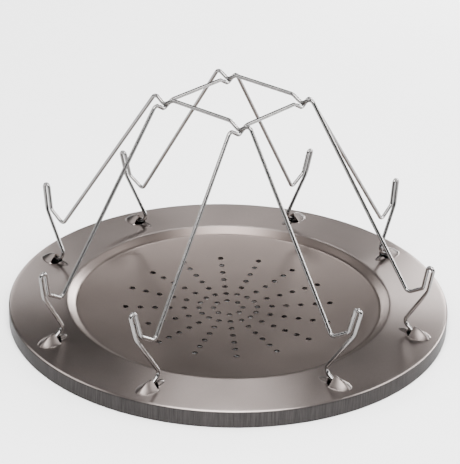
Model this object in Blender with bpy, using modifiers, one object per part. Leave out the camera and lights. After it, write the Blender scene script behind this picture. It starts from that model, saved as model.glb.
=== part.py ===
"""Folding four-slice toast rack for a camp stove: one pressed steel plate and four bent wire frames.

Units are metres, +Z is up.  The origin is the centre of the plate's footprint, on the surface it
stands on.  The four slices of bread lean inwards on the +X, +Y, -X and -Y sides.
"""

import math

import bmesh
import bpy
from mathutils import Matrix, Vector

MM = 0.001
MERGE_DISTANCE = 0.01 * MM
SHARP_ANGLE = math.radians(30.0)

# ---- plate -------------------------------------------------------------------------------------
PLATE_RADIUS = 114.3 * MM
PLATE_HEIGHT = 8.8 * MM
SHEET = 0.7 * MM
EDGE_RADIUS = 1.2 * MM
CREASE_RADIUS = 84.2 * MM
BAND_WIDTH = 4.7 * MM
DISH_EDGE_DROP = 3.1 * MM
DISH_CENTRE_DROP = 7.0 * MM
PLATE_STEPS = 48

# ---- round holes in the dish -------------------------------------------------------------------
HOLE_RADIUS = 1.5 * MM
HOLE_RING_PITCH = 7.68 * MM
HOLE_RINGS = 7
HOLES_INNER_RING = 8
HOLES_OTHER_RINGS = 16
HOLE_SIDES = 8

# ---- hinge line of a wire frame ----------------------------------------------------------------
HINGE_OFFSET = 32.9 * MM
HINGE_HEIGHT = 1.5 * MM
CROWN_OFFSET = 24.3 * MM

# ---- lanced pockets that hold the feet ---------------------------------------------------------
POCKET_MOUTH = 95.0 * MM
POCKET_LENGTH = 9.5 * MM
POCKET_HALF_WIDTH = 4.8 * MM
POCKET_RISE = 4.6 * MM
LIP_MOUTH = 90.2 * MM
LIP_LENGTH = 5.0 * MM
LIP_HALF_WIDTH = 2.0 * MM
LIP_RISE = 1.5 * MM
LIP_SHEET = SHEET / 2
SLIT_OVERLAP = 0.3 * MM
BLISTER_POWER = 2.2
BLISTER_STATIONS = 5
BLISTER_STEPS = 12

# ---- wire --------------------------------------------------------------------------------------
WIRE_RADIUS = 1.0 * MM
CROSSING_GAP = 0.36 * MM
NOTCH_HEIGHT = 107.2 * MM
BAR_ABOVE_NOTCH = 3.4 * MM
HUMP_ABOVE_NOTCH = 4.0 * MM
NOTCH_TO_BAR = 5.7 * MM
NOTCH_TO_HUMP = 6.2 * MM
SHELF_INNER = (90.6 * MM, 22.9 * MM)
SHELF_OUTER = (99.9 * MM, 28.7 * MM)
HOOK_LENGTH = 13.6 * MM
HOOK_LEAN = math.radians(12.0)
HOOK_SPACING = 3.2 * MM
KINK = (88.4 * MM, 5.0 * MM)
PIN_START = 93.9 * MM
PIN_END = 98.5 * MM
ARC_STEP = math.radians(30.0)

# Bend radii at the wire's centre line, from the middle of the crown to the foot.
BAR_BEND = 5.0 * MM
NOTCH_BEND = 2.0 * MM
HUMP_BEND = 2.6 * MM
SHELF_INNER_BEND = 2.6 * MM
SHELF_OUTER_BEND = 3.0 * MM
HOOK_BEND = HOOK_SPACING / 2 - MERGE_DISTANCE
STRAND_BEND = 10.0 * MM
KINK_BEND = 3.5 * MM
FOOT_BEND = 2.0 * MM

# Frame name, the side that it stands on in degrees from +X, and whether its crown lies on top.
FRAMES = (
    ("wire_frame_right", 0.0, False),
    ("wire_frame_back", 90.0, True),
    ("wire_frame_left", 180.0, False),
    ("wire_frame_front", 270.0, True),
)


def clear_scene():
    for obj in list(bpy.data.objects):
        bpy.data.objects.remove(obj, do_unlink=True)


def collection(name):
    made = bpy.data.collections.new(name)
    bpy.context.scene.collection.children.link(made)
    return made


def metal(name, colour, roughness):
    made = bpy.data.materials.new(name)
    made.use_nodes = True
    shader = made.node_tree.nodes["Principled BSDF"]
    shader.inputs["Base Color"].default_value = (*colour, 1.0)
    shader.inputs["Metallic"].default_value = 1.0
    shader.inputs["Roughness"].default_value = roughness
    return made


def add_object(name, data, home):
    made = bpy.data.objects.new(name, data)
    home.objects.link(made)
    return made


def turned_mesh(name, profile, steps, start=0.0):
    """The closed mesh that a profile of (radius, height) points makes when turned about Z.

    Both ends of the profile are on the axis.
    """
    outline = bpy.data.meshes.new(name)
    points = [(r * math.cos(start), r * math.sin(start), z) for r, z in profile]
    outline.from_pydata(points, [(i, i + 1) for i in range(len(points) - 1)], [])
    turned = add_object(name + "_outline", outline, bpy.context.scene.collection)
    screw = turned.modifiers.new("turn", "SCREW")
    screw.steps = steps
    screw.render_steps = steps
    screw.use_merge_vertices = True
    screw.merge_threshold = MERGE_DISTANCE
    screw.use_normal_calculate = True
    bpy.context.view_layer.update()
    evaluated = turned.evaluated_get(bpy.context.evaluated_depsgraph_get())
    made = bpy.data.meshes.new_from_object(evaluated)
    bpy.data.objects.remove(turned, do_unlink=True)
    bpy.data.meshes.remove(outline)
    shell = bmesh.new()
    shell.from_mesh(made)
    bmesh.ops.recalc_face_normals(shell, faces=shell.faces)
    shell.to_mesh(made)
    shell.free()
    made.name = name
    return made


# ---- plate -------------------------------------------------------------------------------------
def dish_height(radius):
    """Top surface of the dish: a parabola from the centre to the foot of the steep band."""
    foot = CREASE_RADIUS - BAND_WIDTH
    rise = (DISH_CENTRE_DROP - DISH_EDGE_DROP) * (radius / foot) ** 2
    return PLATE_HEIGHT - DISH_CENTRE_DROP + rise


def plate_profile():
    """Section of the pressed sheet, from the centre of its top round to the centre underneath."""
    foot = CREASE_RADIUS - BAND_WIDTH
    rings = [HOLE_RING_PITCH * (n + 0.5) for n in (1, 3, 5, 7)] + [(foot + HOLE_RING_PITCH * 7.5) / 2]
    top = [(0.0, dish_height(0.0))] + [(r, dish_height(r)) for r in rings]
    top += [(foot, dish_height(foot)), (CREASE_RADIUS, PLATE_HEIGHT)]
    for angle in (90.0, 45.0, 0.0):
        a = math.radians(angle)
        top.append((
            PLATE_RADIUS - EDGE_RADIUS + EDGE_RADIUS * math.cos(a),
            PLATE_HEIGHT - EDGE_RADIUS + EDGE_RADIUS * math.sin(a),
        ))
    top.append((PLATE_RADIUS, 0.0))
    inner_edge = EDGE_RADIUS - SHEET
    under = [(PLATE_RADIUS - SHEET, 0.0)]
    for angle in (0.0, 45.0, 90.0):
        a = math.radians(angle)
        under.append((
            PLATE_RADIUS - EDGE_RADIUS + inner_edge * math.cos(a),
            PLATE_HEIGHT - EDGE_RADIUS + inner_edge * math.sin(a),
        ))
    under += [(CREASE_RADIUS, PLATE_HEIGHT - SHEET), (foot, dish_height(foot) - SHEET)]
    under += [(r, dish_height(r) - SHEET) for r in reversed(rings)] + [(0.0, dish_height(0.0) - SHEET)]
    flats_out = 1.0 / math.cos(math.pi / PLATE_STEPS)
    return [(r * flats_out, z) for r, z in top + under]


def finished_mesh(name, pieces):
    """A mesh made from a bmesh, which is then freed."""
    made = bpy.data.meshes.new(name)
    pieces.to_mesh(made)
    pieces.free()
    return made


def blister_profile(length, half_width, lead):
    """Bullet section along its axis: a round mouth, an optional straight lead, a pointed tail."""
    profile = [(0.0, -lead), (half_width, -lead)]
    if lead > 0.0:
        profile.append((half_width, 0.0))
    for i in range(1, BLISTER_STATIONS):
        t = i / BLISTER_STATIONS
        profile.append((half_width * (1.0 - t ** BLISTER_POWER), length * t))
    profile.append((0.0, length))
    return profile


def add_blister(target, side, offset, mouth, facing, length, half_width, rise, lead, upper_half):
    """Adds one raised blister, lying along the slice direction 'side', to the bmesh 'target'."""
    mesh = turned_mesh("blister", blister_profile(length, half_width, lead), BLISTER_STEPS)
    squeeze = Matrix.Diagonal((rise / half_width, 1.0, 1.0, 1.0))
    lay_down = Matrix.Rotation(math.radians(90.0), 4, "Y")
    turn = Matrix.Rotation(side + (0.0 if facing > 0 else math.pi), 4, "Z")
    base = PLATE_HEIGHT - SHEET / 2
    centre = Matrix.Rotation(side, 4, "Z") @ Vector((mouth, offset, base))
    mesh.transform(Matrix.Translation(centre) @ turn @ lay_down @ squeeze)
    solid = bmesh.new()
    solid.from_mesh(mesh)
    if upper_half:
        whole = solid.verts[:] + solid.edges[:] + solid.faces[:]
        cut = bmesh.ops.bisect_plane(
            solid, geom=whole, plane_co=(0, 0, base), plane_no=(0, 0, 1), clear_inner=True
        )
        rim = [e for e in cut["geom_cut"] if isinstance(e, bmesh.types.BMEdge)]
        bmesh.ops.holes_fill(solid, edges=rim, sides=0)
    bmesh.ops.recalc_face_normals(solid, faces=solid.faces)
    solid.to_mesh(mesh)
    solid.free()
    target.from_mesh(mesh)
    bpy.data.meshes.remove(mesh)


def pocket_places():
    """Direction and sideways offset of each of the eight feet's pockets."""
    for _, degrees, _ in FRAMES:
        for offset in (-HINGE_OFFSET, HINGE_OFFSET):
            yield math.radians(degrees), offset


def pocket_mesh(name, wall=0.0, lead=0.0):
    """The eight raised pockets; with a wall, the spaces inside them, led out over half of each slit."""
    pieces = bmesh.new()
    for side, offset in pocket_places():
        add_blister(
            pieces, side, offset, POCKET_MOUTH, 1, POCKET_LENGTH - wall,
            POCKET_HALF_WIDTH - wall, POCKET_RISE - wall, lead, upper_half=wall == 0.0,
        )
    return finished_mesh(name, pieces)


def lip_mesh(name, wall=0.0, lead=0.0):
    """The small raised lips that face the pockets across the slits, or the spaces under them."""
    pieces = bmesh.new()
    for side, offset in pocket_places():
        add_blister(
            pieces, side, offset, LIP_MOUTH, -1, LIP_LENGTH - wall,
            LIP_HALF_WIDTH - wall, LIP_RISE - wall, lead, upper_half=wall == 0.0,
        )
    return finished_mesh(name, pieces)


def hole_mesh():
    """Upright cutters for the rings of round holes."""
    pieces = bmesh.new()
    middle = PLATE_HEIGHT - DISH_CENTRE_DROP
    for ring in range(1, HOLE_RINGS + 1):
        count = HOLES_INNER_RING if ring == 1 else HOLES_OTHER_RINGS
        for i in range(count):
            angle = 2 * math.pi * i / count
            radius = ring * HOLE_RING_PITCH
            place = Vector((radius * math.cos(angle), radius * math.sin(angle), middle))
            bmesh.ops.create_cone(
                pieces, cap_ends=True, segments=HOLE_SIDES, radius1=HOLE_RADIUS,
                radius2=HOLE_RADIUS, depth=PLATE_HEIGHT, matrix=Matrix.Translation(place),
            )
    return finished_mesh("drain_holes", pieces)


def make_plate(home, cutters, material):
    mesh = turned_mesh("base_plate", plate_profile(), PLATE_STEPS, start=math.pi / PLATE_STEPS)
    plate = add_object("base_plate", mesh, home)
    plate.data.materials.append(material)
    half_slit = (POCKET_MOUTH - LIP_MOUTH) / 2
    operations = (
        ("raise_pockets", "UNION", pocket_mesh("pocket_blisters")),
        ("raise_lips", "UNION", lip_mesh("lip_blisters")),
        ("open_pockets", "DIFFERENCE", pocket_mesh("pocket_hollows", SHEET, half_slit)),
        ("open_lips", "DIFFERENCE", lip_mesh("lip_hollows", LIP_SHEET, half_slit + SLIT_OVERLAP)),
        ("drain_holes", "DIFFERENCE", hole_mesh()),
    )
    for name, operation, tool_mesh in operations:
        tool = add_object(tool_mesh.name, tool_mesh, cutters)
        tool.hide_render = True
        tool.display_type = "WIRE"
        cut = plate.modifiers.new(name, "BOOLEAN")
        cut.operation = operation
        cut.solver = "EXACT"
        cut.object = tool
    plate.data.shade_smooth()
    plate.data.set_sharp_from_angle(angle=SHARP_ANGLE)
    return plate


# ---- wire frames -------------------------------------------------------------------------------
def rounded_path(corners):
    """Points along straight runs joined by arcs; each corner is (across, up, bend radius)."""
    path = [Vector(corners[0][:2])]
    for before, here, after in zip(corners, corners[1:], corners[2:]):
        corner, radius = Vector(here[:2]), here[2]
        back = (Vector(before[:2]) - corner).normalized()
        ahead = (Vector(after[:2]) - corner).normalized()
        turn = math.pi - back.angle(ahead)
        reach = radius * math.tan(turn / 2)
        centre = corner + (back + ahead).normalized() * (radius / math.cos(turn / 2))
        start = corner + back * reach - centre
        way = 1.0 if back.x * ahead.y - back.y * ahead.x < 0 else -1.0
        steps = max(1, math.ceil(turn / ARC_STEP))
        for i in range(steps + 1):
            a = way * turn * i / steps
            spun = Vector((
                start.x * math.cos(a) - start.y * math.sin(a),
                start.x * math.sin(a) + start.y * math.cos(a),
            ))
            path.append(centre + spun)
    path.append(Vector(corners[-1][:2]))
    return path


def frame_path(crown_on_top):
    """One frame's centre line in its own plane: across, and up from the plate's flat rim."""
    shift = (WIRE_RADIUS + CROSSING_GAP / 2) * (1 if crown_on_top else -1)
    notch = NOTCH_HEIGHT + shift
    along = Vector((math.sin(HOOK_LEAN), math.cos(HOOK_LEAN)))
    out = Vector((math.cos(HOOK_LEAN), -math.sin(HOOK_LEAN)))
    hook_inner = Vector(SHELF_OUTER) + along * HOOK_LENGTH
    hook_outer = hook_inner + out * HOOK_SPACING
    strand_corner = Vector(SHELF_OUTER) + out * HOOK_SPACING
    half = [
        (CROWN_OFFSET - NOTCH_TO_BAR, notch + BAR_ABOVE_NOTCH, BAR_BEND),
        (CROWN_OFFSET, notch, NOTCH_BEND),
        (CROWN_OFFSET + NOTCH_TO_HUMP, notch + HUMP_ABOVE_NOTCH, HUMP_BEND),
        (*SHELF_INNER, SHELF_INNER_BEND),
        (*SHELF_OUTER, SHELF_OUTER_BEND),
        (*hook_inner, HOOK_BEND),
        (*hook_outer, HOOK_BEND),
        (*strand_corner, STRAND_BEND),
        (*KINK, KINK_BEND),
        (PIN_START, HINGE_HEIGHT, FOOT_BEND),
        (PIN_END, HINGE_HEIGHT, 0.0),
    ]
    other_half = [(-across, up, radius) for across, up, radius in reversed(half)]
    return rounded_path(other_half + half)


def make_frame(name, side, crown_on_top, home, material):
    """A bent wire whose origin is on its hinge line, leaning in until its crown meets its neighbours'."""
    line = bpy.data.curves.new(name, "CURVE")
    line.dimensions = "3D"
    line.bevel_depth = WIRE_RADIUS
    line.bevel_resolution = 2
    line.use_fill_caps = True
    path = frame_path(crown_on_top)
    spline = line.splines.new("POLY")
    spline.points.add(len(path) - 1)
    for point, place in zip(spline.points, path):
        point.co = (0.0, place.x, place.y - HINGE_HEIGHT, 1.0)
    frame = add_object(name, line, home)
    lean = math.atan2(HINGE_OFFSET - CROWN_OFFSET, NOTCH_HEIGHT - HINGE_HEIGHT)
    hinge = Vector((HINGE_OFFSET, 0.0, PLATE_HEIGHT + HINGE_HEIGHT))
    turn = Matrix.Rotation(side, 4, "Z")
    frame.matrix_world = turn @ Matrix.Translation(hinge) @ Matrix.Rotation(-lean, 4, "Y")
    frame.data.materials.append(material)
    return frame


def main():
    clear_scene()
    rack = collection("toast_rack")
    cutters = collection("cutters")
    plate_steel = metal("plate_steel", (0.42, 0.39, 0.39), 0.34)
    make_plate(rack, cutters, plate_steel)
    for name, degrees, crown_on_top in FRAMES:
        wire_steel = metal(name + "_steel", (0.72, 0.71, 0.71), 0.14)
        make_frame(name, math.radians(degrees), crown_on_top, rack, wire_steel)
    bpy.context.view_layer.update()


main()
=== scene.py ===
"""The looks of the folding toast rack: fine meshes, brushed steel, bright wire, and a studio."""

import math

import bmesh
import bpy
import numpy as np
from mathutils import Matrix, Vector
from mathutils.geometry import delaunay_2d_cdt


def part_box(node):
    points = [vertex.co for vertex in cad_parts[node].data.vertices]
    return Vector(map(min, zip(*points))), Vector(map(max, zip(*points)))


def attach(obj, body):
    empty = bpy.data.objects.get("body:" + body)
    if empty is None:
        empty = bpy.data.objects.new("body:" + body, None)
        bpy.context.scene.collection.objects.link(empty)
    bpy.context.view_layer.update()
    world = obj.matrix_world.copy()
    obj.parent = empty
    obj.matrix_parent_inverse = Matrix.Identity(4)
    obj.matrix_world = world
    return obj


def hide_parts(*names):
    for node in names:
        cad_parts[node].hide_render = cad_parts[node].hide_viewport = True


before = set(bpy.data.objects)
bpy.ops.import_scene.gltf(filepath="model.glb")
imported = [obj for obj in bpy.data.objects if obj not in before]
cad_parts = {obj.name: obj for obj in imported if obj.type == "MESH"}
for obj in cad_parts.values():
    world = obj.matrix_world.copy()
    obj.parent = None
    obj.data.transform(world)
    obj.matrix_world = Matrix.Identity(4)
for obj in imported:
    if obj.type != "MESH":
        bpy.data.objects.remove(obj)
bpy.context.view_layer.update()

MM = 0.001
TINY = 0.00001
SAME_PLACE = 0.0000001


# ---- sizes, from the plate's CAD box and from the same driving dimensions as the CAD --------------
PLATE_LOW, PLATE_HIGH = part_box("base_plate")
PLATE_RADIUS = (PLATE_HIGH.x - PLATE_LOW.x) / 2
RIM_HEIGHT = 8.8 * MM
SHEET = 0.7 * MM
EDGE_RADIUS = 1.2 * MM
CREASE_RADIUS = 84.2 * MM
BAND_WIDTH = 4.7 * MM
DISH_EDGE_DROP = 3.1 * MM
DISH_CENTRE_DROP = 7.0 * MM
DISH_FOOT = CREASE_RADIUS - BAND_WIDTH
CREASE_BEND = 1.6 * MM
DISH_FOOT_BEND = 2 * CREASE_BEND
EDGE_DEGREES = range(75, -1, -15)
SHARP_ANGLE = math.radians(40.0)
STEEP_NORMAL = 0.5

# The plate's points: how many stand on a circle, how far apart, and where the rings stop.
RIM_STEPS = 288
SECTION_STEPS = 40
SECTION_ARC_STEP = math.radians(2.0)
DISH_POINT_SPACING = 2.56 * MM
FEWEST_RING_POINTS = 12
CREASE_SPACING = 0.6 * MM
FLAT_RIM_SPACING = 2.4 * MM
DISH_RINGS_STOP = 3.5 * MM
BAND_RINGS_BEFORE = 3.0 * MM
BAND_RINGS_BEYOND = 2.0 * MM
FLAT_RINGS_START = 3.2 * MM
FLAT_RINGS_STOP = 1.0 * MM

HOLE_RADIUS = 1.5 * MM
HOLE_GUARD_RADIUS = 2.1 * MM
HOLE_GUARD_GAP = 0.5 * MM
HOLE_RING_PITCH = 7.68 * MM
HOLE_RINGS = 7
HOLES_INNER_RING = 8
HOLES_OTHER_RINGS = 16
HOLE_SIDES = 24

HINGE_OFFSET = 32.9 * MM
HINGE_HEIGHT = 1.5 * MM
CROWN_OFFSET = 24.3 * MM

POCKET_MOUTH = 95.0 * MM
POCKET_LENGTH = 9.5 * MM
POCKET_HALF_WIDTH = 4.8 * MM
POCKET_RISE = 4.25 * MM
POCKET_RIDGE_POWER = 1.8
RIDGE_ROUNDING = 0.09
FOOT_BLEND = 0.14
POCKET_PLAN_POWER = 2.4
OUTLINE_STEPS = 18
SLIT_DEPTH = 4.1 * MM
SLIT_HALF_WIDTH = 4.5 * MM
LIP_LENGTH = 5.0 * MM
LIP_HALF_WIDTH = 2.4 * MM
LIP_RISE = 1.15 * MM

# The lip isn't raised beyond LIP_LIMIT. MOUTH_SLACK is the share of the pocket's length by which a
# point may fall short of the mouth and still be on it.
LIP_LIMIT = POCKET_MOUTH - 1.0 * MM
MOUTH_SLACK = 0.000001

# Each pocket's own patch of fine points: where it starts and ends outwards, and half its width.
# The gaps to its outlines and slit are shares of the spacing.
POCKET_POINT_SPACING = 0.42 * MM
PATCH_INNER = 85.0 * MM
PATCH_OUTER = 105.5 * MM
PATCH_HALF_WIDTH = 6.0 * MM
PATCH_MARGIN = 1.0 * MM
OUTLINE_GAP = 0.5
SLIT_GAP = 0.6

WIRE_RADIUS = 1.0 * MM
CROSSING_GAP = 0.36 * MM
NOTCH_HEIGHT = 107.2 * MM
BAR_ABOVE_NOTCH = 3.4 * MM
HUMP_ABOVE_NOTCH = 4.0 * MM
NOTCH_TO_BAR = 5.7 * MM
NOTCH_TO_HUMP = 6.2 * MM
SHELF_INNER = (90.6 * MM, 22.9 * MM)
SHELF_OUTER = (99.9 * MM, 28.7 * MM)
HOOK_LENGTH = 13.6 * MM
HOOK_LEAN = math.radians(12.0)
HOOK_SPACING = 3.2 * MM
KINK = (88.4 * MM, 5.0 * MM)
PIN_START = 93.9 * MM
PIN_END = 98.5 * MM
ARC_STEP = math.radians(7.0)

# Bend radii at the wire's centre line, from the middle of the crown to the foot.
BAR_BEND = 5.0 * MM
NOTCH_BEND = 2.0 * MM
HUMP_BEND = 2.6 * MM
SHELF_INNER_BEND = 2.6 * MM
SHELF_OUTER_BEND = 3.0 * MM
HOOK_BEND = HOOK_SPACING / 2 - TINY
STRAND_BEND = 10.0 * MM
KINK_BEND = 3.5 * MM
FOOT_BEND = 2.0 * MM
WIRE_BEVEL_RESOLUTION = 6
WIRE_SHARP_ANGLE = math.radians(50.0)

# CAD node, body, the side it stands on in degrees from +X, and whether its crown lies on top.
FRAMES = (
    ("wire_frame_right", "right_frame", 0.0, False),
    ("wire_frame_back", "back_frame", 90.0, True),
    ("wire_frame_left", "left_frame", 180.0, False),
    ("wire_frame_front", "front_frame", 270.0, True),
)


# ---- node helpers -------------------------------------------------------------------------------
class Nodes:
    """A material's node tree, with short calls for adding and joining nodes."""

    def __init__(self, name):
        self.material = bpy.data.materials.new(name)
        self.material.use_nodes = True
        self.tree = self.material.node_tree
        self.shader = self.tree.nodes["Principled BSDF"]

    def add(self, kind, settings=(), **inputs):
        node = self.tree.nodes.new(kind)
        for key, value in dict(settings).items():
            setattr(node, key, value)
        for key, value in inputs.items():
            self.put(node.inputs[key.replace("_", " ")], value)
        return node

    def put(self, socket, value):
        if isinstance(value, bpy.types.NodeSocket):
            self.tree.links.new(value, socket)
        else:
            socket.default_value = value

    def math(self, operation, *values):
        node = self.add("ShaderNodeMath", {"operation": operation})
        for socket, value in zip(node.inputs, values):
            self.put(socket, value)
        return node.outputs[0]

    def ranged(self, value, low, high, to_low, to_high):
        node = self.add("ShaderNodeMapRange")
        for socket, number in zip(node.inputs, (value, low, high, to_low, to_high)):
            self.put(socket, number)
        return node.outputs[0]

    def mix(self, factor, first, second):
        node = self.add("ShaderNodeMix", {"data_type": "RGBA"})
        self.put(node.inputs["Factor"], factor)
        self.put(node.inputs["A"], first)
        self.put(node.inputs["B"], second)
        return node.outputs["Result"]


def shaded(tone, share=1.0):
    """An opaque colour: 'tone' at a share of its strength."""
    return (*(share * channel for channel in tone), 1.0)


# ---- materials ----------------------------------------------------------------------------------
# Metal tones and finishes. With its noise, the plate's roughness stays at 0.28 or more, because a
# glossier brushed sheet renders with grain and dotted patches.
RIM_TONE = (0.219, 0.188, 0.176)
# Painted shade: the dish gets a darker copy of the rim's tone, standing in for the shade and dark
# reflections that fall on it.
DISH_PAINTED_SHADE_TONE = (0.174, 0.142, 0.128)
# Painted shade: the pockets' tone is set far below the rim's to stand in for the dark reflections on
# their sloping faces.
POCKET_PAINTED_SHADE_TONE = (0.09, 0.077, 0.072)
# The hole and slit walls are rougher cut edges. Their dark tone is painted shade inside the holes.
CUT_EDGE_PAINTED_SHADE_TONE = (0.06, 0.053, 0.05)
# Painted shade: the skirt's tones are kept dark to stand in for the dark it reflects. The step between
# them follows the draw marks.
SKIRT_PAINTED_SHADE_DARK = (0.022, 0.020, 0.020)
SKIRT_PAINTED_SHADE_LIGHT = (0.052, 0.048, 0.047)
WIRE_CLEAN = (0.19, 0.184, 0.181)
WIRE_WORN = (0.14, 0.135, 0.133)

RIM_ROUGHNESS = 0.31
DISH_ROUGHNESS = 0.305
POCKET_ROUGHNESS = 0.32
CUT_EDGE_ROUGHNESS = 0.5
SKIRT_ROUGHNESS = (0.30, 0.46)
WIRE_ROUGHNESS = (0.20, 0.26)
SPECK_ROUGHNESS = 0.015
CLOUD_ROUGHNESS = 0.01
RIM_ANISOTROPY = 0.75
RIM_EDGE_TINT = 0.6

# The skirt's finish, its draw marks and its dark painted-shade tone, fades in on the rounded edge,
# between these distances from the outside.
SKIRT_FADE = (0.35 * MM, 0.08 * MM)


def plate_steel(name, tone, roughness, anisotropy=0.0, edge_tint=1.0):
    """Satin pressed sheet: faint specks and clouding, and upright draw marks round the skirt, whose dark
    tone is painted shade.
    """
    n = Nodes(name)
    place = n.add("ShaderNodeTexCoord").outputs["Object"]
    x, y, _ = n.add("ShaderNodeSeparateXYZ", Vector=place).outputs
    radius = n.math("SQRT", n.math("ADD", n.math("MULTIPLY", x, x), n.math("MULTIPLY", y, y)))
    starts, ends = SKIRT_FADE
    on_skirt = n.ranged(radius, PLATE_RADIUS - starts, PLATE_RADIUS - ends, 0.0, 1.0)

    skirt_place = n.add("ShaderNodeMapping", Vector=place, Scale=(1.0, 1.0, 0.04)).outputs[0]
    draw_marks = n.add("ShaderNodeTexNoise", Vector=skirt_place, Scale=1700.0, Detail=4.0,
                       Roughness=0.65).outputs[0]
    cloud = n.add("ShaderNodeTexNoise", Vector=place, Scale=28.0, Detail=3.0, Roughness=0.5).outputs[0]
    speck = n.add("ShaderNodeTexNoise", Vector=place, Scale=2200.0, Detail=3.0, Roughness=0.7).outputs[0]

    top_tone = n.mix(n.ranged(cloud, 0.3, 0.7, 0.0, 1.0), shaded(tone, 0.94), shaded(tone, 1.06))
    top_tone = n.mix(n.ranged(speck, 0.35, 0.75, 0.0, 0.45), top_tone, shaded(tone, 0.72))
    # Painted shade: the skirt's dark tones, varied by the draw marks.
    skirt_marks_and_shade_tone = n.mix(n.ranged(draw_marks, 0.3, 0.7, 0.0, 1.0), shaded(SKIRT_PAINTED_SHADE_DARK), shaded(SKIRT_PAINTED_SHADE_LIGHT))
    n.put(n.shader.inputs["Base Color"], n.mix(on_skirt, top_tone, skirt_marks_and_shade_tone))

    low, high = roughness - SPECK_ROUGHNESS, roughness + SPECK_ROUGHNESS
    top_rough = n.math("ADD", n.ranged(speck, 0.3, 0.7, low, high),
                       n.ranged(cloud, 0.3, 0.7, -CLOUD_ROUGHNESS, CLOUD_ROUGHNESS))
    skirt_rough = n.ranged(draw_marks, 0.3, 0.7, *SKIRT_ROUGHNESS)
    rough = n.add("ShaderNodeMix", {"data_type": "FLOAT"})
    n.put(rough.inputs["Factor"], on_skirt)
    n.put(rough.inputs["A"], top_rough)
    n.put(rough.inputs["B"], skirt_rough)
    n.put(n.shader.inputs["Roughness"], rough.outputs["Result"])

    height = n.math("ADD", n.math("MULTIPLY", draw_marks, n.math("MULTIPLY", on_skirt, 2.2)),
                    n.math("MULTIPLY", speck, 0.025))
    bump = n.add("ShaderNodeBump", Strength=0.25, Distance=0.00008, Height=height)
    n.put(n.shader.inputs["Normal"], bump.outputs[0])
    around = n.add("ShaderNodeTangent", {"direction_type": "RADIAL", "axis": "Z"})
    n.put(n.shader.inputs["Tangent"], around.outputs[0])
    n.shader.inputs["Anisotropic"].default_value = anisotropy
    n.shader.inputs["Anisotropic Rotation"].default_value = 0.25
    n.shader.inputs["Specular Tint"].default_value = shaded((1.0, 1.0, 1.0), edge_tint)
    n.shader.inputs["Metallic"].default_value = 1.0
    return n.material


def wire_steel(name, seed):
    """Bright drawn wire: fine die lines along it, and small dull patches where it is handled."""
    n = Nodes(name)
    place = n.add("ShaderNodeTexCoord").outputs["Object"]
    moved = n.add("ShaderNodeMapping", Vector=place, Location=(seed, 0.7 * seed, 0.3 * seed)).outputs[0]
    worn = n.add("ShaderNodeTexNoise", Vector=moved, Scale=180.0, Detail=3.0, Roughness=0.6).outputs[0]
    fine = n.add("ShaderNodeTexNoise", Vector=moved, Scale=4200.0, Detail=2.0, Roughness=0.5).outputs[0]
    tone = n.mix(n.ranged(worn, 0.35, 0.75, 0.0, 1.0), shaded(WIRE_CLEAN), shaded(WIRE_WORN))
    n.put(n.shader.inputs["Base Color"], tone)
    n.put(n.shader.inputs["Roughness"], n.ranged(worn, 0.3, 0.75, *WIRE_ROUGHNESS))
    bump = n.add("ShaderNodeBump", Strength=0.05, Distance=0.00002, Height=fine)
    n.put(n.shader.inputs["Normal"], bump.outputs[0])
    n.shader.inputs["Metallic"].default_value = 1.0
    return n.material


# ---- plate --------------------------------------------------------------------------------------
def add_object(name, data):
    made = bpy.data.objects.new(name, data)
    bpy.context.scene.collection.objects.link(made)
    return made


def rounded_path(corners, arc_step):
    """Points along straight runs joined by arcs; each corner is (across, up, bend radius)."""
    path = [Vector(corners[0][:2])]
    for before, here, after in zip(corners, corners[1:], corners[2:]):
        corner, radius = Vector(here[:2]), here[2]
        if radius <= 0.0:
            path.append(corner)
            continue
        back = (Vector(before[:2]) - corner).normalized()
        ahead = (Vector(after[:2]) - corner).normalized()
        turn = math.pi - back.angle(ahead)
        reach = radius * math.tan(turn / 2)
        centre = corner + (back + ahead).normalized() * (radius / math.cos(turn / 2))
        start = corner + back * reach - centre
        way = 1.0 if back.x * ahead.y - back.y * ahead.x < 0 else -1.0
        steps = max(1, math.ceil(turn / arc_step))
        for i in range(steps + 1):
            path.append(centre + Matrix.Rotation(way * turn * i / steps, 2) @ start)
    path.append(Vector(corners[-1][:2]))
    return path


def dish_height(radius):
    """Top surface of the dish: a parabola from the centre to the foot of the steep band."""
    rise = (DISH_CENTRE_DROP - DISH_EDGE_DROP) * (radius / DISH_FOOT) ** 2
    return RIM_HEIGHT - DISH_CENTRE_DROP + rise


def sheet_section():
    """The pressed sheet's top face, from the centre to the start of the rim's rounded edge."""
    dish_radii = np.linspace(0.0, DISH_FOOT - 2 * DISH_FOOT_BEND, SECTION_STEPS)
    corners = [(radius, dish_height(radius), 0.0) for radius in dish_radii]
    corners.append((DISH_FOOT, dish_height(DISH_FOOT), DISH_FOOT_BEND))
    corners.append((CREASE_RADIUS, RIM_HEIGHT, CREASE_BEND))
    corners.append((PLATE_RADIUS - EDGE_RADIUS, RIM_HEIGHT, 0.0))
    return rounded_path(corners, SECTION_ARC_STEP)


def circle(radius, count, centre=(0.0, 0.0)):
    x, y = centre
    turns = (2 * math.pi * i / count for i in range(count))
    return [Vector((x + radius * math.cos(a), y + radius * math.sin(a))) for a in turns]


def hole_centres():
    for ring in range(1, HOLE_RINGS + 1):
        yield from circle(ring * HOLE_RING_PITCH, HOLES_INNER_RING if ring == 1 else HOLES_OTHER_RINGS)


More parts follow.
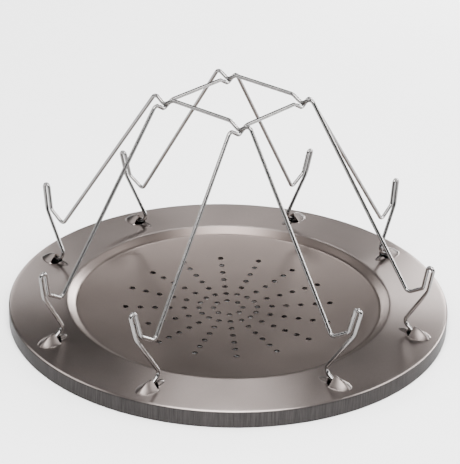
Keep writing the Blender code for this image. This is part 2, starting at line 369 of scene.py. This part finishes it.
def nearest_hole(x, y):
    """Distance from a point to the middle of the hole nearest to it."""
    ring = min(HOLE_RINGS, max(1, round(math.hypot(x, y) / HOLE_RING_PITCH)))
    gaps = []
    for n in {ring, max(1, ring - 1), min(HOLE_RINGS, ring + 1)}:
        step = 2 * math.pi / (HOLES_INNER_RING if n == 1 else HOLES_OTHER_RINGS)
        angle = round(math.atan2(y, x) / step) * step
        gaps.append(math.hypot(x - n * HOLE_RING_PITCH * math.cos(angle),
                               y - n * HOLE_RING_PITCH * math.sin(angle)))
    return min(gaps)


def pocket_places():
    """Direction (cosine, sine) and sideways offset of each of the eight feet's pockets."""
    for _, _, degrees, _ in FRAMES:
        a = math.radians(degrees)
        for offset in (-HINGE_OFFSET, HINGE_OFFSET):
            yield math.cos(a), math.sin(a), offset


def slit_inner_edge(aside):
    """How far out the slit's curved inner edge is, at a distance 'aside' from the pocket's middle."""
    return POCKET_MOUTH - SLIT_DEPTH * math.cos(math.pi * aside / (2 * SLIT_HALF_WIDTH))


def in_slit(out, aside, margin=0.0):
    if abs(aside) > SLIT_HALF_WIDTH + margin:
        return False
    near = min(abs(aside), SLIT_HALF_WIDTH)
    return slit_inner_edge(near) - margin < out < POCKET_MOUTH + margin


def to_pocket(x, y, pocket):
    """How far out along a pocket's own line a point is, and how far aside of it."""
    cosine, sine, offset = pocket
    return x * cosine + y * sine, -x * sine + y * cosine - offset


def from_pocket(out, aside, pocket):
    cosine, sine, offset = pocket
    across = aside + offset
    return Vector((out * cosine - across * sine, out * sine + across * cosine))


def ridge_section(share):
    """Height of a folded ridge, 1 on its crest and 0 at its foot, for a share of its half width."""
    tent = 1.0 + RIDGE_ROUNDING - math.hypot(share, RIDGE_ROUNDING)
    if tent <= 0.0:
        return 0.0
    return tent * tent * (1.0 + FOOT_BLEND) / (tent + FOOT_BLEND)


def pocket_half_width(along):
    """Half the pocket's width at a share 'along' of its length, from its mouth to its round tail."""
    return POCKET_HALF_WIDTH * math.sqrt(max(0.0, 1.0 - along ** POCKET_PLAN_POWER))


def in_pocket(out, aside):
    along = (out - POCKET_MOUTH) / POCKET_LENGTH
    return 0.0 <= along < 1.0 and abs(aside) < pocket_half_width(along)


def lip_half_width(back):
    """Half the lip's width at a share 'back' of its length, from the slit inwards."""
    return LIP_HALF_WIDTH * math.sqrt(max(0.0, 1.0 - back * back))


def in_lip(out, aside):
    back = (slit_inner_edge(0.0) - out) / LIP_LENGTH
    beyond_slit = abs(aside) < LIP_HALF_WIDTH and out < slit_inner_edge(min(abs(aside), SLIT_HALF_WIDTH))
    return beyond_slit and back < 1.0 and abs(aside) < lip_half_width(max(0.0, back))


def pressed_rise(out, aside):
    """How far the pocket, or the lip that faces it, is pressed up above the flat rim."""
    along = (out - POCKET_MOUTH) / POCKET_LENGTH
    if -MOUTH_SLACK < along < 1.0:
        along = max(0.0, along)
        width = max(TINY, pocket_half_width(along))
        return POCKET_RISE * (1.0 - along ** POCKET_RIDGE_POWER) * ridge_section(aside / width)
    back = (slit_inner_edge(0.0) - out) / LIP_LENGTH
    width = lip_half_width(max(0.0, back))
    if out < LIP_LIMIT and back < 1.0 and abs(aside) < width:
        fall = 1.0 - max(0.0, back) ** 2
        return LIP_RISE * fall * math.cos(math.pi / 2 * aside / width) ** 2
    return 0.0


def pressed_outlines():
    """Plan outlines of a pocket and of its lip, as (out, aside) points, each open at the slit."""
    turns = [math.pi * i / OUTLINE_STEPS for i in range(1, OUTLINE_STEPS)]
    pocket, lip = [], []
    for a in turns:
        along = abs(math.sin(a)) ** (2.0 / POCKET_PLAN_POWER)
        pocket.append((POCKET_MOUTH + POCKET_LENGTH * along, POCKET_HALF_WIDTH * math.cos(a)))
        lip.append((slit_inner_edge(0.0) - LIP_LENGTH * math.sin(a), LIP_HALF_WIDTH * math.cos(a)))
    return pocket, lip


def in_patch(point):
    """Whether a point is on, or just beside, the patch of fine points round a pocket."""
    for pocket in pocket_places():
        out, aside = to_pocket(point.x, point.y, pocket)
        beside = abs(aside) < PATCH_HALF_WIDTH + PATCH_MARGIN
        if beside and PATCH_INNER - PATCH_MARGIN < out < PATCH_OUTER + PATCH_MARGIN:
            return True
    return False


def flat_layout():
    """Points of the sheet seen from above, its holes', slits' and rim's outlines, and open fold lines."""
    points, loops, folds = [], [], []
    edge = PLATE_RADIUS - EDGE_RADIUS
    for radius in np.arange(DISH_POINT_SPACING, DISH_FOOT - DISH_RINGS_STOP, DISH_POINT_SPACING):
        count = int(2 * math.pi * radius / DISH_POINT_SPACING)
        ring = circle(radius, max(FEWEST_RING_POINTS, count))
        points += [p for p in ring if nearest_hole(p.x, p.y) > HOLE_GUARD_RADIUS + HOLE_GUARD_GAP]
    band_start, band_end = DISH_FOOT - BAND_RINGS_BEFORE, CREASE_RADIUS + BAND_RINGS_BEYOND
    for radius in np.arange(band_start, band_end, CREASE_SPACING):
        points += circle(radius, RIM_STEPS)
    for radius in np.arange(CREASE_RADIUS + FLAT_RINGS_START, edge - FLAT_RINGS_STOP, FLAT_RIM_SPACING):
        points += [p for p in circle(radius, RIM_STEPS // 2) if not in_patch(p)]
    points.append(Vector((0.0, 0.0)))
    for centre in hole_centres():
        points += circle(HOLE_GUARD_RADIUS, HOLE_SIDES, centre)
        loops.append(circle(HOLE_RADIUS, HOLE_SIDES, centre))
    loops.append(circle(edge, RIM_STEPS))

    step = POCKET_POINT_SPACING
    sides = np.arange(-SLIT_HALF_WIDTH, SLIT_HALF_WIDTH + step / 2, step)
    outlines = pressed_outlines()
    fold_points = np.array([p for line in outlines for p in line])
    patch = []
    for out in np.arange(PATCH_INNER, PATCH_OUTER + step / 2, step):
        for aside in np.arange(-PATCH_HALF_WIDTH, PATCH_HALF_WIDTH + step / 2, step):
            gap = np.hypot(*(fold_points - (out, aside)).T).min()
            if gap > OUTLINE_GAP * step and not in_slit(out, aside, SLIT_GAP * step):
                patch.append((out, aside))
    for pocket in pocket_places():
        straight = [from_pocket(POCKET_MOUTH, v, pocket) for v in sides]
        curved = [from_pocket(slit_inner_edge(v), v, pocket) for v in sides[-2:0:-1]]
        loops.append(straight + curved)
        folds += [[from_pocket(out, aside, pocket) for out, aside in line] for line in outlines]
        points += [from_pocket(out, aside, pocket) for out, aside in patch]
    return points, loops, folds


def pressed_sheet():
    """An open surface: the plate's top face, with its holes, pockets, rounded rim and skirt."""
    points, loops, folds = flat_layout()
    edges = []
    for loop in loops:
        first = len(points)
        points += loop
        edges += [(first + i, first + (i + 1) % len(loop)) for i in range(len(loop))]
    for fold in folds:
        first = len(points)
        points += fold
        edges += [(first + i, first + i + 1) for i in range(len(fold) - 1)]
    flat, _, faces, *_ = delaunay_2d_cdt(points, edges, [], 0, SAME_PLACE)

    section = sheet_section()
    radii, heights = [p.x for p in section], [p.y for p in section]
    pockets = list(pocket_places())
    sheet = bmesh.new()
    made = []
    for x, y in flat:
        height = float(np.interp(math.hypot(x, y), radii, heights))
        places = [to_pocket(x, y, pocket) for pocket in pockets]
        height += sum(pressed_rise(out, aside) for out, aside in places if abs(aside) < POCKET_HALF_WIDTH)
        made.append(sheet.verts.new((x, y, height)))
    for face in faces:
        x, y = sum((Vector(flat[i]) for i in face), Vector((0.0, 0.0))) / len(face)
        open_here = nearest_hole(x, y) < HOLE_RADIUS * math.cos(math.pi / HOLE_SIDES)
        if not open_here and not any(in_slit(*to_pocket(x, y, pocket)) for pocket in pockets):
            sheet.faces.new([made[i] for i in face])
    bmesh.ops.delete(sheet, geom=[v for v in sheet.verts if not v.link_faces], context="VERTS")
    add_skirt(sheet)
    bmesh.ops.recalc_face_normals(sheet, faces=sheet.faces)
    mesh = bpy.data.meshes.new("plate")
    sheet.to_mesh(mesh)
    sheet.free()
    return mesh


def add_skirt(sheet):
    """Carries the sheet on from its outer circle, round the rim's edge and down to the floor."""
    edge = PLATE_RADIUS - EDGE_RADIUS
    ring = sorted(
        (v for v in sheet.verts if abs(math.hypot(v.co.x, v.co.y) - edge) < TINY),
        key=lambda v: math.atan2(v.co.y, v.co.x),
    )
    path = []
    for a in map(math.radians, EDGE_DEGREES):
        height = RIM_HEIGHT - EDGE_RADIUS + EDGE_RADIUS * math.sin(a)
        path.append((edge + EDGE_RADIUS * math.cos(a), height))
    path += [(PLATE_RADIUS, RIM_HEIGHT / 2), (PLATE_RADIUS, 0.0)]
    for radius, height in path:
        below = []
        for v in ring:
            reach = math.hypot(v.co.x, v.co.y)
            below.append(sheet.verts.new((v.co.x * radius / reach, v.co.y * radius / reach, height)))
        for i in range(len(ring)):
            j = (i + 1) % len(ring)
            sheet.faces.new((ring[i], ring[j], below[j], below[i]))
        ring = below


def settled(name, guide, sharp_angle):
    """Replaces a guide object by a plain mesh object of what its modifiers or bevel make of it."""
    bpy.context.view_layer.update()
    mesh = bpy.data.meshes.new_from_object(guide.evaluated_get(bpy.context.evaluated_depsgraph_get()))
    mesh.transform(guide.matrix_world)
    bpy.data.objects.remove(guide, do_unlink=True)
    solid = bmesh.new()
    solid.from_mesh(mesh)
    bmesh.ops.remove_doubles(solid, verts=solid.verts, dist=TINY)
    bmesh.ops.recalc_face_normals(solid, faces=solid.faces)
    solid.to_mesh(mesh)
    solid.free()
    made = add_object(name, mesh)
    mesh.shade_smooth()
    mesh.set_sharp_from_angle(angle=sharp_angle)
    mesh.materials.clear()
    return made


def make_plate():
    """The pressed plate: a surface given the sheet's thickness, with a finish for each part of it."""
    guide = add_object("plate_sheet", pressed_sheet())
    wall = guide.modifiers.new("sheet_thickness", "SOLIDIFY")
    wall.thickness = SHEET
    wall.offset = -1.0
    wall.use_even_offset = True
    wall.use_quality_normals = True
    plate = settled("plate", guide, SHARP_ANGLE)
    for finish in (
        plate_steel("rim_steel", RIM_TONE, RIM_ROUGHNESS, RIM_ANISOTROPY, RIM_EDGE_TINT),
        # The dish: a darker copy of the sheet's tone, as painted shade.
        plate_steel("dish_steel_painted_shade", DISH_PAINTED_SHADE_TONE, DISH_ROUGHNESS),
        # The pockets: a darker copy of the sheet's tone, as painted shade.
        plate_steel("pocket_steel_painted_shade", POCKET_PAINTED_SHADE_TONE, POCKET_ROUGHNESS),
        # The cut edges: rougher, and darkened as painted shade in the holes.
        plate_steel("cut_edge_steel_painted_shade", CUT_EDGE_PAINTED_SHADE_TONE, CUT_EDGE_ROUGHNESS),
    ):
        plate.data.materials.append(finish)
    _, dish_index, pocket_index, cut_edge_index = range(len(plate.data.materials))
    pockets = list(pocket_places())
    for face in plate.data.polygons:
        x, y, _ = face.center
        if math.hypot(x, y) < CREASE_RADIUS - CREASE_SPACING:
            # Steep walls of the holes take the cut-edge finish and its painted shade.
            hole_wall = abs(face.normal.z) < STEEP_NORMAL
            face.material_index = cut_edge_index if hole_wall else dish_index
        elif abs(x) > CREASE_RADIUS or abs(y) > CREASE_RADIUS:
            places = [to_pocket(x, y, pocket) for pocket in pockets]
            if any(in_pocket(*place) or in_lip(*place) for place in places):
                face.material_index = pocket_index
    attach(plate, "plate")
    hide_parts("base_plate")


# ---- wire frames --------------------------------------------------------------------------------
def frame_path(crown_on_top):
    """One frame's centre line in its own plane: across, and up from the plate's flat rim."""
    shift = (WIRE_RADIUS + CROSSING_GAP / 2) * (1 if crown_on_top else -1)
    notch = NOTCH_HEIGHT + shift
    along = Vector((math.sin(HOOK_LEAN), math.cos(HOOK_LEAN)))
    out = Vector((math.cos(HOOK_LEAN), -math.sin(HOOK_LEAN)))
    hook_inner = Vector(SHELF_OUTER) + along * HOOK_LENGTH
    hook_outer = hook_inner + out * HOOK_SPACING
    strand_corner = Vector(SHELF_OUTER) + out * HOOK_SPACING
    half = [
        (CROWN_OFFSET - NOTCH_TO_BAR, notch + BAR_ABOVE_NOTCH, BAR_BEND),
        (CROWN_OFFSET, notch, NOTCH_BEND),
        (CROWN_OFFSET + NOTCH_TO_HUMP, notch + HUMP_ABOVE_NOTCH, HUMP_BEND),
        (*SHELF_INNER, SHELF_INNER_BEND),
        (*SHELF_OUTER, SHELF_OUTER_BEND),
        (*hook_inner, HOOK_BEND),
        (*hook_outer, HOOK_BEND),
        (*strand_corner, STRAND_BEND),
        (*KINK, KINK_BEND),
        (PIN_START, HINGE_HEIGHT, FOOT_BEND),
        (PIN_END, HINGE_HEIGHT, 0.0),
    ]
    other_half = [(-across, up, radius) for across, up, radius in reversed(half)]
    return rounded_path(other_half + half, ARC_STEP)


def make_frame(node, body, degrees, crown_on_top, seed):
    """A bent wire that stands where its CAD node does."""
    name = node.replace("wire_frame", "wire")
    line = bpy.data.curves.new(name, "CURVE")
    line.dimensions = "3D"
    line.bevel_depth = WIRE_RADIUS
    line.bevel_resolution = WIRE_BEVEL_RESOLUTION
    line.use_fill_caps = True
    path = frame_path(crown_on_top)
    spline = line.splines.new("POLY")
    spline.points.add(len(path) - 1)
    for point, place in zip(spline.points, path):
        point.co = (0.0, place.x, place.y - HINGE_HEIGHT, 1.0)
    guide = add_object(name + "_line", line)
    lean = math.atan2(HINGE_OFFSET - CROWN_OFFSET, NOTCH_HEIGHT - HINGE_HEIGHT)
    hinge = Vector((HINGE_OFFSET, 0.0, RIM_HEIGHT + HINGE_HEIGHT))
    turn = Matrix.Rotation(math.radians(degrees), 4, "Z")
    guide.matrix_world = turn @ Matrix.Translation(hinge) @ Matrix.Rotation(-lean, 4, "Y")
    wire = settled(name, guide, WIRE_SHARP_ANGLE)
    wire.data.materials.append(wire_steel(name + "_steel", seed))
    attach(wire, body)
    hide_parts(node)


# ---- studio -------------------------------------------------------------------------------------
CAMERA_AZIMUTH = math.radians(39.9)
CAMERA_ELEVATION = math.radians(25.97)
CAMERA_ROLL = math.radians(1.4)
CAMERA_DISTANCE = 914.4 * MM
CAMERA_ASIDE = 0.8 * MM
CAMERA_RISE = 33.4 * MM
CAMERA_LENS = 135.5
CAMERA_NEAR = 0.05
CAMERA_FAR = 20.0
FLOOR_SIZE = 6.0
FLOOR_DROP = 0.2 * MM
FLOOR_TONES = ((0.90, 0.90, 0.90), (0.93, 0.93, 0.93))
WORLD_TONE = (1.0, 0.97, 0.95)
WORLD_STRENGTH = 0.03

# Name, azimuth and elevation in degrees, distance and size in metres, watts, and the height aimed at.
# Azimuth 0 is behind the camera, and it grows anticlockwise from above.
HIGH_AIM = 50.0 * MM
LOW_AIM = 10.0 * MM
SOFTBOXES = (
    ("top_panel", 0.0, 88.0, 1.8, (0.6, 1.4), 34.0, HIGH_AIM),
    ("front_panel", 0.0, 58.0, 1.6, (1.4, 0.8), 78.0, HIGH_AIM),
    ("back_panel", 180.0, 42.0, 1.8, (0.3, 0.2), 3.9, HIGH_AIM),
    ("right_panel", 157.0, 18.0, 1.0, (0.24, 0.22), 6.9, LOW_AIM),
    ("left_panel", -157.0, 18.0, 1.0, (0.24, 0.22), 2.0, LOW_AIM),
    ("right_wall", 98.0, 37.0, 1.6, (1.2, 0.8), 27.0, HIGH_AIM),
    ("left_wall", -98.0, 37.0, 1.6, (1.2, 0.8), 19.0, HIGH_AIM),
    ("low_panel", 119.0, 8.0, 1.3, (0.8, 0.3), 24.0, HIGH_AIM),
)


def aimed(place, target):
    """A matrix at 'place' whose -Z axis points at 'target'."""
    back = (Vector(place) - Vector(target)).normalized()
    right = Vector((0, 0, 1)).cross(back).normalized()
    up = back.cross(right)
    turn = Matrix((right, up, back)).transposed().to_4x4()
    return Matrix.Translation(place) @ turn


def direction(azimuth, elevation):
    """A unit vector, at an azimuth in radians from the front (-Y) towards the right (+X)."""
    flat = math.cos(elevation)
    return Vector((math.sin(azimuth) * flat, -math.cos(azimuth) * flat, math.sin(elevation)))


def make_camera():
    """A camera that looks from CAMERA_AZIMUTH and CAMERA_ELEVATION, rolled about its own view."""
    a = CAMERA_AZIMUTH
    back = direction(a, CAMERA_ELEVATION)
    level = Vector((math.cos(a), math.sin(a), 0.0))
    upright = back.cross(level)
    right = level * math.cos(CAMERA_ROLL) + upright * math.sin(CAMERA_ROLL)
    up = upright * math.cos(CAMERA_ROLL) - level * math.sin(CAMERA_ROLL)
    place = Vector((0, 0, RIM_HEIGHT)) + back * CAMERA_DISTANCE + right * CAMERA_ASIDE + up * CAMERA_RISE
    data = bpy.data.cameras.new("camera")
    data.lens = CAMERA_LENS
    data.clip_start = CAMERA_NEAR
    data.clip_end = CAMERA_FAR
    camera = add_object("camera", data)
    camera.matrix_world = Matrix.Translation(place) @ Matrix((right, up, back)).transposed().to_4x4()
    bpy.context.scene.camera = camera


def make_floor():
    mesh = bpy.data.meshes.new("floor")
    ground = bmesh.new()
    bmesh.ops.create_grid(ground, x_segments=1, y_segments=1, size=FLOOR_SIZE / 2)
    ground.to_mesh(mesh)
    ground.free()
    floor = add_object("floor", mesh)
    floor.location.z = -FLOOR_DROP
    n = Nodes("floor_paper")
    fibre = n.add("ShaderNodeTexNoise", Scale=90.0, Detail=3.0).outputs[0]
    n.put(n.shader.inputs["Base Color"], n.mix(fibre, *map(shaded, FLOOR_TONES)))
    n.shader.inputs["Roughness"].default_value = 0.9
    floor.data.materials.append(n.material)


def make_softbox(name, azimuth, elevation, distance, size, power, aim_height):
    data = bpy.data.lights.new(name, "AREA")
    data.shape = "RECTANGLE"
    data.size, data.size_y = size
    data.energy = power
    light = add_object(name, data)
    light.visible_camera = False
    target = Vector((0.0, 0.0, aim_height))
    way = direction(CAMERA_AZIMUTH + math.radians(azimuth), math.radians(elevation))
    light.matrix_world = aimed(target + way * distance, target)


def make_world():
    world = bpy.data.worlds.new("studio")
    world.use_nodes = True
    background = world.node_tree.nodes["Background"]
    background.inputs["Color"].default_value = shaded(WORLD_TONE)
    background.inputs["Strength"].default_value = WORLD_STRENGTH
    bpy.context.scene.world = world


make_plate()
for index, (node, body, degrees, crown_on_top) in enumerate(FRAMES):
    make_frame(node, body, degrees, crown_on_top, float(index))
make_camera()
make_floor()
for light in SOFTBOXES:
    make_softbox(*light)
make_world()
